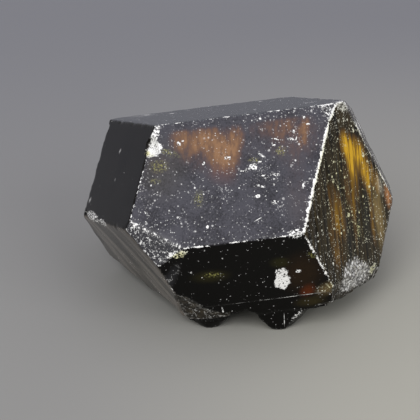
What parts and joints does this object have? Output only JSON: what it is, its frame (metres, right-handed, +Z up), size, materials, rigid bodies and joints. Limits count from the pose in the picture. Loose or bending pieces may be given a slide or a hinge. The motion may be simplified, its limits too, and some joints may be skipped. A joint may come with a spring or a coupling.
{
  "type": "melanite garnet crystal",
  "caption": "Black rhombic-dodecahedral garnet crystal with bright worn edges, amber-brown glow and a striated side, resting on its torn underside.",
  "frame": {"origin": "below the middle of the crystal's box, on the surface it rests on", "axes": "+Z up from the torn underside, +X along the crystal's longest extent; seen from -Y the large grey face looks up at the viewer and the striated amber face is on the right"},
  "size_m": [0.0248, 0.0214, 0.0163],
  "materials": {
    "garnet": "black vitreous garnet, dark brown to amber where light gets through, worn white along its edges"
  },
  "bodies": {
    "root": {"garnet_crystal": "garnet"}
  },
  "joints": []
}
